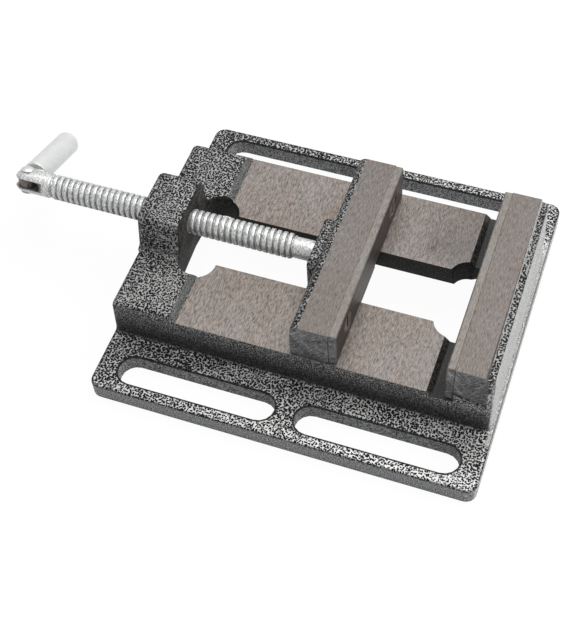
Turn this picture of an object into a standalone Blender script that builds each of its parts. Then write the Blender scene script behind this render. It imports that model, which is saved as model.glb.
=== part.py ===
"""Drill press vise with 102 mm jaws: base casting, sliding jaw, leadscrew and folding handle.

X runs along the leadscrew toward the fixed jaw, Y to the back, Z up from the table.
Sizes are in millimetres and are turned into metres where a mesh is made.
The positions along X are measured from the left end of the base.
"""

import math

import bmesh
import bpy
from mathutils import Matrix, Vector

MM = 0.001

# Base casting
base_length = 183.0
flange_reach = 31.4
flange_thickness = 8.7
flange_corner = 5.2
flange_edge_round = 1.2
body_inset_left = 0.4
body_inset_right = 1.9
body_overhang = 1.6
body_corner_left = 2.2
body_corner_right = 4.0
wall_draft = 0.03
foot_fillet = 2.4
plateau_rise = 2.0
plateau_round = 2.2
plateau_seat = 0.6
cast_blend = 0.1
block_corner = 0.4
wall_thickness = 8.6
deck_thickness = 10.8
hollow_corner = 6.0
hollow_draft = 0.6
hollow_round = 2.0

# Milled ways
way_height = 28.0
way_left = 33.0
way_end_gap = 7.7
way_end_slope = 2.0
groove_depth = 2.8
groove_fillet = 0.9
step_run = 2.8

# Central opening
opening_half_width = 15.3
opening_left = 21.5
ear_radius = 9.2
ear_draft = 1.8
left_ear_offset_front = 0.7
left_ear_offset_rear = -0.8
left_ear_setback = 8.1
right_ear_offset = -2.6
right_ear_beyond_way = 1.8
opening_end_corner = 2.0
opening_end_gap = 0.4

# Clamping slots in the flanges
slot_width = 14.8
slot_gap = 9.6
slot_edge = 5.8
slot_end_margin = 10.2

# Nut block at the left end
nut_half_width = 18.2
nut_crown = 13.1
nut_taper = 0.17
nut_end_taper = 0.01
nut_round = 2.2
nut_draft = 0.2
nut_corner = 2.4
nut_foot_fillet = 2.0
nut_sink = 4.0
nut_overlap = 1.5

# Jaws
jaw_width = 102.0
jaw_height = 20.7
jaw_opening = 48.9
plate_thickness = 4.0
plate_chamfer = 0.5
fixed_jaw_setback = 24.1
ledge_width = 6.4
ledge_drop = 1.8
ledge_slope = 0.7
end_cut_left_rise = 3.6
end_cut_right_drop = 0.6
end_cut_margin = 5.2
moving_jaw_depth = 13.5
moving_jaw_back_round = 3.8
moving_jaw_back_draft = 0.3
boss_length = 8.7
boss_half_width = 14.4
boss_crown = 10.0
boss_round = 3.0
boss_corner = 1.5
boss_overlap = 1.2
guide_setback = 2.2
guide_clearance = 0.3

# Keeper under the moving jaw
keeper_thickness = 4.8
keeper_lap = 8.7
keeper_setback = 2.0
keeper_reach = 3.0
keeper_chamfer = 0.8
keeper_corner = 3.0
keeper_bolt_inset = 4.9
keeper_bolt_setback = 7.5

# Leadscrew
screw_rise = 8.3
screw_diameter = 12.0
thread_length = 125.3
thread_depth = 1.3
thread_runout = 1.6
head_diameter = 12.0
rivet_to_thread = 13.8
slot_bottom = 9.1
clevis_slot = 4.8
journal_diameter = 10.0
journal_exposed = 9.5
journal_depth = 18.6
journal_groove_diameter = 6.8
journal_groove_width = 4.9
journal_chamfer = 0.8
screw_roll = -25.0

# Handle
handle_length = 50.2
handle_diameter = 12.0
handle_swing = 4.5
handle_offset = 0.5
handle_tip_round = 1.0
handle_chamfer = 0.4
tang_length = 8.7
tang_width = 9.0

# Fasteners
plate_screw_diameter = 5.0
plate_screw_head = 10.0
plate_screw_length = 13.0
plate_screw_slot = 1.2
plate_screw_slot_depth = 1.2
plate_screw_sink = 0.3
keeper_bolt_diameter = 6.0
keeper_bolt_flats = 10.0
keeper_bolt_head = 4.0
keeper_bolt_length = 17.0
washer_diameter = 10.6
washer_thickness = 1.6
washer_split = 1.0
pin_diameter = 4.0
pin_length = 24.0
pin_wall = 0.9
pin_split = 1.0
rivet_diameter = 4.0
rivet_head_diameter = 6.6
rivet_head_height = 1.5
rivet_seat_depth = 0.9

# Gap that touching faces and running fits keep
gap = 0.3

# Values that follow from the sizes above
body_half_width = jaw_width / 2 + body_overhang
base_width = 2 * (body_half_width + flange_reach)
body_left = body_inset_left
body_right = base_length - body_inset_right
plateau_height = way_height + plateau_rise
fixed_jaw_face = base_length - fixed_jaw_setback
fixed_jaw_top_end = base_length - ledge_width
way_right = fixed_jaw_face - way_end_gap
slot_length = (base_length - slot_gap) / 2 - slot_end_margin
deck_underside = way_height - deck_thickness
groove_floor = way_height - groove_depth
jaw_top = way_height + jaw_height
ledge_height = jaw_top - ledge_drop
fixed_casting_face = fixed_jaw_face + plate_thickness + gap
moving_jaw_face = fixed_jaw_face - jaw_opening
moving_casting_face = moving_jaw_face - plate_thickness - gap
moving_casting_back = moving_casting_face - moving_jaw_depth
boss_face = moving_casting_back - boss_length
guide_right = moving_jaw_face - guide_setback
guide_half_width = opening_half_width - guide_clearance
keeper_half_width = opening_half_width + keeper_lap
keeper_top = deck_underside - gap
screw_height = way_height + screw_rise
nut_height = screw_height + nut_crown
boss_height = screw_height + boss_crown
thread_end = boss_face - journal_exposed
thread_start = thread_end - thread_length
journal_end = boss_face + journal_depth
pin_x = (boss_face + guide_right) / 2
pin_y = (journal_groove_diameter + pin_diameter) / 2 + gap / 2
rivet_x = thread_start - rivet_to_thread
clevis_radius = head_diameter / 2
rivet_seat_flat = head_diameter / 2 - rivet_seat_depth
clevis_end = rivet_x - clevis_radius
tip_centre = handle_length - handle_tip_round
handle_end = rivet_x - handle_tip_round - tip_centre * math.sin(math.radians(handle_swing))
handle_end -= (handle_diameter / 2 - handle_tip_round) * math.cos(math.radians(handle_swing))
frame_shift = round(-(base_length + min(clevis_end, handle_end)) / 2, 1)
plate_screw_height = way_height + jaw_height * 0.52
plate_screw_spread = jaw_width / 3
above = 20.0


def wall_offset(height):
    """How far the cast walls lean in at a height above the flange."""
    return wall_draft * (height - flange_thickness)


def make_material(name, colour, roughness, metallic):
    material = bpy.data.materials.new(name)
    material.use_nodes = True
    shader = material.node_tree.nodes["Principled BSDF"]
    shader.inputs["Base Color"].default_value = (*colour, 1.0)
    shader.inputs["Roughness"].default_value = roughness
    shader.inputs["Metallic"].default_value = metallic
    return material


def make_object(name, mesh_data, parent=None, material=None, smooth=False):
    """Turn a bmesh into a named object; its sizes are millimetres in the parent's frame."""
    bmesh.ops.scale(mesh_data, vec=(MM, MM, MM), verts=mesh_data.verts)
    bmesh.ops.recalc_face_normals(mesh_data, faces=mesh_data.faces)
    mesh = bpy.data.meshes.new(name)
    mesh_data.to_mesh(mesh)
    mesh_data.free()
    if material:
        mesh.materials.append(material)
    if smooth:
        mesh.shade_smooth()
        mesh.set_sharp_from_angle(angle=math.radians(35))
    piece = bpy.data.objects.new(name, mesh)
    bpy.context.collection.objects.link(piece)
    piece.parent = parent
    return piece


def make_empty(name, location, parent=None, roll=0.0):
    empty = bpy.data.objects.new(name, None)
    bpy.context.collection.objects.link(empty)
    empty.parent = parent
    empty.location = Vector(location) * MM
    empty.rotation_euler = (math.radians(roll), 0.0, 0.0)
    return empty


def arc(centre_x, centre_y, radius, start, end, steps):
    """Points along an arc, angles in degrees, both ends included."""
    points = []
    for index in range(steps + 1):
        angle = math.radians(start + (end - start) * index / steps)
        points.append((centre_x + radius * math.cos(angle), centre_y + radius * math.sin(angle)))
    return points


def rounded_outline(x0, x1, half_width, left_radius, right_radius, steps=4):
    """A rectangle in plan, from x0 to x1, with rounded corners at each end."""
    right = half_width - right_radius
    left = half_width - left_radius
    return (
        arc(x1 - right_radius, right, right_radius, 0, 90, steps)
        + arc(x0 + left_radius, left, left_radius, 90, 180, steps)
        + arc(x0 + left_radius, -left, left_radius, 180, 270, steps)
        + arc(x1 - right_radius, -right, right_radius, 270, 360, steps)
    )


def loft(rings):
    """A closed solid through a stack of rings with equal numbers of points."""
    mesh_data = bmesh.new()
    loops = [[mesh_data.verts.new(point) for point in ring] for ring in rings]
    for lower, upper in zip(loops, loops[1:]):
        for index in range(len(lower)):
            after = (index + 1) % len(lower)
            mesh_data.faces.new((lower[index], lower[after], upper[after], upper[index]))
    mesh_data.faces.new(reversed(loops[0]))
    mesh_data.faces.new(loops[-1])
    return mesh_data


def stack(levels, steps=4):
    """Loft plan outlines; a level is (z, x0, x1, half width, left radius, right radius)."""
    rings = []
    for z, x0, x1, half_width, left_radius, right_radius in levels:
        outline = rounded_outline(x0, x1, half_width, left_radius, right_radius, steps)
        rings.append([(x, y, z) for x, y in outline])
    return loft(rings)


def prism_z(outline, low, high):
    """Extrude a plan outline between two heights."""
    return loft([[(x, y, z) for x, y in outline] for z in (low, high)])


def prism_y(outline, half_width):
    """Extrude a side outline, given as X and Z, across the vise."""
    return loft([[(x, y, z) for x, z in outline] for y in (-half_width, half_width)])


def turned_x(profile, steps):
    """Turn a profile of X and radius about the X axis; both ends are closed by flat discs."""
    rings = []
    for x, radius in profile:
        rings.append([(x, y, z) for y, z in arc(0, 0, radius, 0, 360, steps)[:-1]])
    return loft(rings)


def turned_z(profile, steps):
    """Turn a profile of Z and radius about the Z axis."""
    rings = []
    for z, radius in profile:
        rings.append([(x, y, z) for x, y in arc(0, 0, radius, 0, 360, steps)[:-1]])
    return loft(rings)


def slot_outline(centre_x, centre_y, length, width, steps=8):
    reach = (length - width) / 2
    return arc(centre_x + reach, centre_y, width / 2, -90, 90, steps) + arc(
        centre_x - reach, centre_y, width / 2, 90, 270, steps
    )


def boolean(target, tool, operation):
    modifier = target.modifiers.new(tool.name, "BOOLEAN")
    modifier.operation = operation
    modifier.solver = "EXACT"
    modifier.object = tool


def cutter(name, mesh_data, parent):
    """A tool body: hidden in renders and left out of the model."""
    tool = make_object(name, mesh_data, parent)
    tool.hide_render = True
    tool.display_type = "WIRE"
    return tool


def cut(target, name, mesh_data, parent):
    tool = cutter("cut_" + name, mesh_data, parent)
    boolean(target, tool, "DIFFERENCE")
    return tool


def join(target, name, mesh_data, parent):
    tool = cutter("add_" + name, mesh_data, parent)
    boolean(target, tool, "UNION")
    return tool


def moved(mesh_data, location, turn=None):
    if turn:
        bmesh.ops.transform(mesh_data, matrix=turn, verts=mesh_data.verts)
    bmesh.ops.translate(mesh_data, vec=location, verts=mesh_data.verts)
    return mesh_data


def body_level(height, grow=0.0):
    """One plan outline of the raised body with its draft."""
    lean = wall_offset(height)
    return (
        height,
        body_left + lean,
        body_right - lean,
        body_half_width - lean + grow,
        body_corner_left,
        body_corner_right,
    )


def flange_levels():
    """The foot plate with a rounded upper edge."""
    half = base_width / 2
    levels = [(0.0, 0.0, base_length, half, flange_corner, flange_corner)]
    for x, z in arc(0, 0, flange_edge_round, 0, 90, 3):
        inset = flange_edge_round - x
        corner = flange_corner - inset
        height = flange_thickness - flange_edge_round + z
        levels.append((height, inset, base_length - inset, half - inset, corner, corner))
    return levels


def body_levels():
    """The raised body up to the ways, with a fillet where it meets the flange."""
    levels = [body_level(flange_thickness / 2, foot_fillet)]
    for x, z in arc(foot_fillet, foot_fillet, foot_fillet, 270, 180, 4):
        levels.append(body_level(flange_thickness + z, x))
    levels.append(body_level(way_height))
    return levels


def plateau_levels():
    """The cast block left of the ways, with a rounded outer edge and a short step to the ways."""
    start = plateau_height - plateau_round
    step = plateau_height - way_height

    def level(height, inset):
        lean = wall_offset(height) + cast_blend + inset
        share = min(max(height - way_height, 0) / step, 1.0)
        right = way_left - step_run * (1.0 - math.sqrt(1.0 - share * share))
        return (height, body_left + lean, right, body_half_width - lean, body_corner_left, block_corner)

    levels = [level(start - plateau_seat * 2, 0.0)]
    for x, z in arc(0, 0, plateau_round, 0, 90, 5):
        levels.append(level(start + z, plateau_round - x))
    return levels


def fixed_jaw_levels():
    """The fixed jaw, cast on the body, up to the level that its top is milled to."""
    levels = []
    for height in (groove_floor - plateau_seat * 2, jaw_top):
        lean = wall_offset(height) + cast_blend
        half = body_half_width - lean
        levels.append((height, fixed_casting_face, body_right - lean, half, block_corner, body_corner_right))
    return levels


def opening_half(radius, left_offset):
    """One side of the hole between the ways, from its left end to its right, as X and distance."""
    half = opening_half_width
    left_x = opening_left + left_ear_setback
    left_y = half + left_offset
    start = math.degrees(math.acos(-min(left_ear_setback / radius, 0.99)))
    end = math.degrees(math.asin(-left_offset / radius))
    right_x = way_right + right_ear_beyond_way
    right_y = half + right_ear_offset
    bite = 180 - math.degrees(math.asin(-right_ear_offset / radius))
    end_x = fixed_jaw_face - opening_end_gap
    corner = opening_end_corner
    top_y = right_y + ear_radius
    return (
        arc(left_x, left_y, radius, start, end, 14)
        + arc(right_x, right_y, radius, bite, 90, 9)
        + arc(end_x - corner, top_y - corner, corner, 90, 0, 3)
    )


def opening_rings():
    """The hole between the ways: straight sides, and a drafted round ear at each corner."""
    rings = []
    for height, radius in (
        (-above, ear_radius - ear_draft),
        (deck_underside, ear_radius - ear_draft),
        (way_height - 1.5, ear_radius),
        (jaw_top + above, ear_radius),
    ):
        rear = opening_half(radius, left_ear_offset_rear)
        front = [(x, -y) for x, y in reversed(opening_half(radius, left_ear_offset_front))]
        outline = [(opening_left, 0.0)] + rear + front
        rings.append([(x, y, height) for x, y in outline])
    return rings


def groove_outline():
    """Side view of the groove between the ways' right end and the fixed jaw."""
    slope = way_right + way_end_slope
    fillet = groove_fillet
    return [
        (way_right, way_height),
        (slope, groove_floor + fillet),
        (slope + fillet * 0.3, groove_floor + fillet * 0.3),
        (slope + fillet, groove_floor),
        (fixed_casting_face + 1.0, groove_floor),
        (fixed_casting_face + 1.0, way_height + above),
        (way_right - way_end_slope, way_height + above),
    ]


def nut_levels():
    """The nut block: a tapered block with a rounded top, flush with the opening's end."""
    levels = []
    foot = plateau_height - nut_sink
    right = opening_left + nut_overlap

    def level(height, grow=0.0):
        rise = height - plateau_height
        half = nut_half_width - nut_taper * rise + grow
        if rise < 0:
            left = body_left + wall_offset(height) + cast_blend
        else:
            left = body_left + nut_draft + nut_end_taper * rise
        return (height, left, right, half, nut_corner, block_corner)

    levels.append(level(foot, nut_foot_fillet))
    levels.append(level(plateau_height, nut_foot_fillet))
    levels.append(level(plateau_height + nut_foot_fillet * 0.3, nut_foot_fillet * 0.4))
    levels.append(level(plateau_height + nut_foot_fillet, 0.0))
    start = nut_height - nut_round
    for x, z in arc(0, 0, nut_round, 0, 90, 4):
        height = start + z
        inset = nut_round - x
        _, left, right_x, half, left_corner, right_corner = level(height)
        levels.append((height, left + inset * 0.5, right_x, half - inset, left_corner, right_corner))
    return levels


def build_base(frame, material):
    base = make_object("base_casting", stack(flange_levels(), 6), frame, material, smooth=True)
    join(base, "body", stack(body_levels()), frame)
    rim = plateau_height - plateau_round - plateau_seat
    left_part = [(-above, rim), (way_left - 1.0, rim), (way_left - 1.0, jaw_top), (-above, jaw_top)]
    cut(base, "plateau_seat", prism_y(left_part, base_width), frame)
    cut(base, "groove", prism_y(groove_outline(), base_width), frame)
    join(base, "plateau", stack(plateau_levels()), frame)
    join(base, "fixed_jaw", stack(fixed_jaw_levels()), frame)
    ledge = [
        (fixed_jaw_top_end - ledge_slope, jaw_top + above),
        (fixed_jaw_top_end - ledge_slope, jaw_top),
        (fixed_jaw_top_end, ledge_height),
        (base_length + above, ledge_height),
        (base_length + above, jaw_top + above),
    ]
    cut(base, "ledge", prism_y(ledge, base_width), frame)
    for side, sign in (("front", -1), ("rear", 1)):
        inner = sign * jaw_width / 2
        outer = sign * base_width
        near = fixed_jaw_face - 1.0
        far = base_length - end_cut_margin
        outline = [
            (near, way_height + end_cut_left_rise),
            (far, way_height - end_cut_right_drop),
            (far, jaw_top + above),
            (near, jaw_top + above),
        ]
        end_cut = loft([[(x, y, z) for x, z in outline] for y in (inner, outer)])
        cut(base, "milled_end_" + side, end_cut, frame)
    join(base, "nut_block", stack(nut_levels(), 3), frame)
    cut(base, "opening", loft(opening_rings()), frame)
    hollow_left = body_left + wall_thickness
    hollow_right = body_right - wall_thickness
    hollow_half = body_half_width - wall_thickness
    hollow = []
    for height, inset in (
        (-1.0, 0.0),
        (deck_underside - hollow_round, hollow_draft),
        (deck_underside, hollow_draft + hollow_round),
    ):
        left = hollow_left + inset
        right = hollow_right - inset
        hollow.append((height, left, right, hollow_half - inset, hollow_corner, hollow_corner))
    cut(base, "underside", stack(hollow), frame)
    slot_y = base_width / 2 - slot_edge - slot_width / 2
    slot_x = (slot_length + slot_gap) / 2
    for side, sign_y in (("front", -1), ("rear", 1)):
        for end, sign_x in (("left", -1), ("right", 1)):
            centre_x = base_length / 2 + sign_x * slot_x
            outline = slot_outline(centre_x, sign_y * slot_y, slot_length, slot_width)
            cut(base, f"slot_{side}_{end}", prism_z(outline, -1.0, flange_thickness + 1.0), frame)
    bore_radius = screw_diameter / 2 + gap
    bore = turned_x([(-above, bore_radius), (opening_left + 6, bore_radius)], 32)
    moved(bore, (0, 0, screw_height))
    cut(base, "screw_bore", bore, frame)
    return base


def plate_screw_profile(grow=0.0):
    """X and radius of a countersunk screw whose flat head ends at X zero."""
    head = plate_screw_head / 2 + grow
    shank = plate_screw_diameter / 2 + grow
    cone = plate_screw_head / 2 - plate_screw_diameter / 2
    tip = plate_screw_length + grow
    return [(0.0, head), (0.4, head), (0.4 + cone, shank), (tip, shank)]


def build_plate(name, face_x, direction, low, owner, owner_parent, frame, materials):
    """A jaw plate, its two countersunk screws and the holes that they pass through.

    The plate's gripping face is at face_x and its back lies toward direction.
    """
    back_x = face_x + direction * plate_thickness
    x0, x1 = min(face_x, back_x), max(face_x, back_x)
    outline = [(x0, -jaw_width / 2), (x1, -jaw_width / 2), (x1, jaw_width / 2), (x0, jaw_width / 2)]
    plate = make_object(name, prism_z(outline, low, jaw_top), frame, materials["plate"])
    bevel = plate.modifiers.new("edges", "BEVEL")
    bevel.width = plate_chamfer * MM
    bevel.segments = 1
    bevel.limit_method = "ANGLE"
    turn = Matrix.Rotation(0.0 if direction > 0 else math.pi, 4, "Z")
    for side, sign in (("front", -1), ("rear", 1)):
        place = (face_x + direction * plate_screw_sink, sign * plate_screw_spread, plate_screw_height)
        hole_profile = plate_screw_profile(gap)
        hole_profile[0] = (-3.0, hole_profile[0][1])
        cut(plate, f"{name}_hole_{side}", moved(turned_x(hole_profile, 24), place, turn), frame)
        cut(owner, f"{name}_thread_{side}", moved(turned_x(hole_profile, 24), place, turn), owner_parent)
        screw = make_object(
            f"{name}_screw_{side}",
            moved(turned_x(plate_screw_profile(), 24), place, turn),
            frame,
            materials["zinc"],
            smooth=True,
        )
        depth = plate_screw_slot_depth
        drive = [
            (-1.0, -plate_screw_slot / 2),
            (depth, -plate_screw_slot / 2),
            (depth, plate_screw_slot / 2),
            (-1.0, plate_screw_slot / 2),
        ]
        slot = moved(prism_z(drive, -plate_screw_head, plate_screw_head), place, turn)
        cut(screw, f"{name}_drive_{side}", slot, frame)
    return plate


def boss_levels():
    """The guide between the ways and the boss above them, as one block under a rounded top."""
    low_half = guide_half_width
    inside = moving_casting_face - boss_overlap
    corner = boss_corner
    levels = [
        (deck_underside, boss_face, guide_right, low_half, corner, corner),
        (way_height - 0.4, boss_face, guide_right, low_half, corner, corner),
        (way_height - 0.1, boss_face, inside, low_half, corner, corner),
        (way_height + 1.5, boss_face, inside, boss_half_width, corner, corner),
    ]
    for x, z in arc(0, 0, boss_round, 0, 90, 4):
        inset = boss_round - x
        height = boss_height - boss_round + z
        levels.append((height, boss_face + inset * 0.35, inside, boss_half_width - inset, corner, corner))
    return levels


def build_moving_jaw(slide, materials):
    """Everything that slides: the casting, its plate, the keeper and the screw's pins."""
    half = jaw_width / 2
    low = way_height + gap
    side = [
        (moving_casting_back - moving_jaw_back_round - moving_jaw_back_draft, low),
        (moving_casting_face, low),
        (moving_casting_face, jaw_top),
    ]
    turn = moving_jaw_back_round
    side += arc(moving_casting_back, jaw_top - turn, turn, 90, 180, 5)
    jaw = make_object("moving_jaw_casting", prism_y(side, half), slide, materials["casting"], smooth=True)
    join(jaw, "boss", stack(boss_levels(), 3), slide)
    bore = turned_x([(boss_face - above, journal_diameter / 2 + gap),
                     (journal_end + gap, journal_diameter / 2 + gap)], 28)
    cut(jaw, "journal_bore", moved(bore, (0, 0, screw_height)), slide)
    for name, sign in (("front", -1), ("rear", 1)):
        hole = turned_z([(deck_underside - 5, pin_diameter / 2 + gap / 2),
                         (keeper_top + gap + pin_length + 0.6, pin_diameter / 2 + gap / 2)], 16)
        cut(jaw, "pin_hole_" + name, moved(hole, (pin_x, sign * pin_y, 0)), slide)
        outer = pin_diameter / 2
        inner = outer - pin_wall
        open_angle = math.degrees(pin_split / 2 / outer)
        section = arc(0, 0, outer, open_angle, 360 - open_angle, 14) + arc(
            0, 0, inner, 360 - open_angle * 1.6, open_angle * 1.6, 12
        )
        pin = prism_z(section, keeper_top + gap, keeper_top + gap + pin_length)
        make_object("screw_retaining_pin_" + name, moved(pin, (pin_x, sign * pin_y, 0)), slide,
                    materials["steel"], smooth=True)
    build_plate("moving_jaw_plate", moving_jaw_face, -1, way_height + gap, jaw, slide, slide, materials)

    keeper_left = boss_face - keeper_reach
    keeper_right = guide_right - keeper_setback
    keeper_low = keeper_top - keeper_thickness
    half = keeper_half_width
    chamfer = keeper_chamfer
    inner = keeper_corner - chamfer
    keeper = make_object(
        "keeper_plate",
        stack([
            (keeper_low, keeper_left + chamfer, keeper_right - chamfer, half - chamfer, inner, inner),
            (keeper_low + chamfer, keeper_left, keeper_right, half, keeper_corner, keeper_corner),
            (keeper_top, keeper_left, keeper_right, half, keeper_corner, keeper_corner),
        ], 3),
        slide,
        materials["steel"],
        smooth=True,
    )
    seat = keeper_low - gap
    places = (("left", boss_face + keeper_bolt_inset), ("right", guide_right - keeper_bolt_setback))
    for name, x in places:
        radius = keeper_bolt_diameter / 2
        top = seat - washer_thickness - gap + keeper_bolt_length
        hole = turned_z([(keeper_low - 4, radius + gap), (top + gap, radius + gap)], 20)
        cut(keeper, "keeper_hole_" + name, moved(hole, (x, 0, 0)), slide)
        thread = turned_z([(keeper_low - 4, radius + gap), (top + gap, radius + gap)], 20)
        cut(jaw, "keeper_thread_" + name, moved(thread, (x, 0, 0)), slide)
        open_angle = math.degrees(washer_split / washer_diameter)
        washer = arc(0, 0, washer_diameter / 2, open_angle, 360 - open_angle, 22) + arc(
            0, 0, radius + gap, 360 - open_angle * 1.7, open_angle * 1.7, 18
        )
        ring = moved(prism_z(washer, seat - washer_thickness, seat), (x, 0, 0))
        make_object("keeper_spring_washer_" + name, ring, slide, materials["zinc"], smooth=True)
        head_top = seat - washer_thickness - gap
        hexagon = arc(0, 0, keeper_bolt_flats / 2 / math.cos(math.radians(30)), 30, 390, 6)[:-1]
        head = moved(prism_z(hexagon, head_top - keeper_bolt_head, head_top), (x, 0, 0))
        bolt = make_object("keeper_bolt_" + name, head, slide, materials["zinc"], smooth=True)
        shank = turned_z([(head_top - 1, radius), (top - 1, radius), (top, radius - 0.9)], 20)
        join(bolt, "bolt_shank_" + name, moved(shank, (x, 0, 0)), slide)
    return jaw


def screw_profile():
    """X and radius of the leadscrew from its head, before the clevis is cut, to its journal."""
    major = screw_diameter / 2
    journal = journal_diameter / 2
    groove = journal_groove_diameter / 2
    groove_left = pin_x - journal_groove_width / 2
    groove_right = pin_x + journal_groove_width / 2
    ball = arc(rivet_x, 0, clevis_radius, 167, 95, 8)
    return ball + [
        (rivet_x + 0.7, head_diameter / 2),
        (thread_start - 0.9, head_diameter / 2),
        (thread_start - 0.2, major - thread_depth),
        (thread_start + 0.4, major - thread_depth),
        (thread_start + 1.4, major),
        (thread_end - thread_runout, major),
        (thread_end, journal),
        (groove_left - 0.4, journal),
        (groove_left, groove),
        (groove_right, groove),
        (groove_right + 0.4, journal),
        (journal_end - journal_chamfer, journal),
        (journal_end, journal - journal_chamfer),
    ]


def build_screw(turn, materials):
    """The leadscrew with its ball end, slotted as a clevis, and the rivet that holds the handle.

    Inside the turning frame the X axis is the screw's own and Z is the rivet's.
    """
    screw = make_object("leadscrew", turned_x(screw_profile(), 40), turn, materials["zinc"], smooth=True)
    far = head_diameter
    bottom = rivet_x + slot_bottom
    half_slot = clevis_slot / 2
    slot = [(clevis_end - 5, -half_slot)] + arc(bottom - half_slot, 0, half_slot, -90, 90, 10)
    slot.append((clevis_end - 5, half_slot))
    cut(screw, "clevis_slot", prism_y(slot, far), turn)
    hole = turned_z([(-far, rivet_diameter / 2 + gap), (far, rivet_diameter / 2 + gap)], 20)
    cut(screw, "rivet_hole", moved(hole, (rivet_x, 0, 0), Matrix.Rotation(0.1, 4, "Z")), turn)
    for name, low, high in (("top", rivet_seat_flat, far), ("bottom", -far, -rivet_seat_flat)):
        seat_radius = rivet_head_diameter / 2 + gap
        seat = turned_z([(low, seat_radius), (high, seat_radius)], 24)
        cut(screw, "rivet_seat_" + name, moved(seat, (rivet_x, 0, 0)), turn)

    head = rivet_head_diameter / 2
    under = rivet_seat_flat + gap
    dome = []
    for x, z in arc(0, 0, 1.0, 0, 80, 5):
        dome.append((under + rivet_head_height * z, head * x))
    profile = [(-z, radius) for z, radius in reversed(dome)]
    profile += [(-under, rivet_diameter / 2), (under, rivet_diameter / 2)] + dome
    rivet = moved(turned_z(profile, 24), (rivet_x, 0, 0))
    make_object("handle_rivet", rivet, turn, materials["zinc"], smooth=True)
    return screw


def build_handle(pivot, materials):
    """The handle bar: a round rod with a flat tang that swings on the rivet.

    Inside the pivot's frame the rod runs along Y and the rivet is the Z axis.
    """
    radius = handle_diameter / 2
    start = tang_length
    profile = [(start, radius - handle_chamfer), (start + handle_chamfer, radius)]
    for x, z in arc(0, 0, handle_tip_round, 0, 75, 4):
        profile.append((handle_length - handle_tip_round + z, radius - handle_tip_round + x))
    turn = Matrix.Rotation(math.radians(90), 4, "Z")
    rod = moved(turned_x(profile, 32), (0, 0, -handle_offset), turn)
    handle = make_object("handle", rod, pivot, materials["zinc"], smooth=True)
    half = tang_width / 2
    flat = arc(0, 0, half, 180, 360, 14)
    flat += [(half, start + 1.5), (-half, start + 1.5)]
    thickness = clevis_slot / 2 - gap
    join(handle, "tang", prism_z(flat, -thickness, thickness), pivot)
    hole = turned_z([(-6, rivet_diameter / 2 + gap), (6, rivet_diameter / 2 + gap)], 20)
    cut(handle, "handle_hole", hole, pivot)
    return handle


def main():
    for item in list(bpy.data.objects):
        bpy.data.objects.remove(item, do_unlink=True)
    materials = {
        "base": make_material("hammertone_enamel", (0.09, 0.09, 0.095), 0.38, 0.5),
        "casting": make_material("ground_cast_iron", (0.33, 0.30, 0.28), 0.45, 0.8),
        "plate": make_material("ground_steel", (0.42, 0.40, 0.37), 0.4, 0.85),
        "zinc": make_material("zinc_plated_steel", (0.70, 0.70, 0.68), 0.28, 0.95),
        "steel": make_material("dark_steel", (0.12, 0.12, 0.12), 0.45, 0.8),
    }
    frame = make_empty("vise_frame", (frame_shift, 0, 0))
    base = build_base(frame, materials["base"])
    build_plate("fixed_jaw_plate", fixed_jaw_face, 1, groove_floor + gap, base, frame, frame, materials)
    slide = make_empty("jaw_slide", (0, 0, 0), frame)
    build_moving_jaw(slide, materials)
    turn = make_empty("screw_turn", (0, 0, screw_height), slide, screw_roll)
    build_screw(turn, materials)
    pivot = make_empty("handle_swing", (rivet_x, 0, 0), turn)
    pivot.rotation_euler = (0.0, 0.0, math.radians(handle_swing))
    build_handle(pivot, materials)
    bpy.context.view_layer.update()


main()
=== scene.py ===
"""Looks of the drill press vise: enamel, ground iron, threaded screw, and the studio round them.

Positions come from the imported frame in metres; X runs along the leadscrew toward the fixed jaw.
"""

import math

import bmesh
import bpy
from bpy.props import FloatProperty, FloatVectorProperty, IntProperty, PointerProperty
from mathutils import Matrix, Vector


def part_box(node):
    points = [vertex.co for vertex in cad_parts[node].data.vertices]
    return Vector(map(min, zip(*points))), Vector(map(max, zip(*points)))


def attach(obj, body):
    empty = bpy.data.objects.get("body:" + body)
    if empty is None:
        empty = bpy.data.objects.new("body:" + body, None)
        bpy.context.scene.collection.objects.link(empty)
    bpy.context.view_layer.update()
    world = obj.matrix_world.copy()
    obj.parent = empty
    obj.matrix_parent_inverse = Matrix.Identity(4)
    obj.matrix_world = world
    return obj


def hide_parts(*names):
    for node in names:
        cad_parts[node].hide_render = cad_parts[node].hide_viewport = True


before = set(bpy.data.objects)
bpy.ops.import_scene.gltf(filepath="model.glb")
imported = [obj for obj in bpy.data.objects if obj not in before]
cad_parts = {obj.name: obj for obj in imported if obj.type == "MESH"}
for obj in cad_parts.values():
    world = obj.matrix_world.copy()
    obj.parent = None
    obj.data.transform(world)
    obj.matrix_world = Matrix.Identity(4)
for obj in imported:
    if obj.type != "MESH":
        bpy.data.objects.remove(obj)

bl_info = {
    "name": "Drill Press Vise Finishes",
    "version": (1, 0, 0),
    "blender": (4, 5, 0),
    "location": "3D View > Sidebar > Vise",
    "description": "Dresses the drill press vise in enamel, ground iron and zinc, and sets up its studio",
    "category": "Object",
}

BASE_LOW, BASE_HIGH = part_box("base_casting")
SCREW_LOW, SCREW_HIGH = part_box("leadscrew")
SCREW_AXIS_Z = (SCREW_LOW.z + SCREW_HIGH.z) / 2
JAW_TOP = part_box("fixed_jaw_plate")[1].z
LEFT = BASE_LOW.x
RIGHT = BASE_HIGH.x
FOOT = BASE_LOW.z
MM = 0.001

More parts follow.
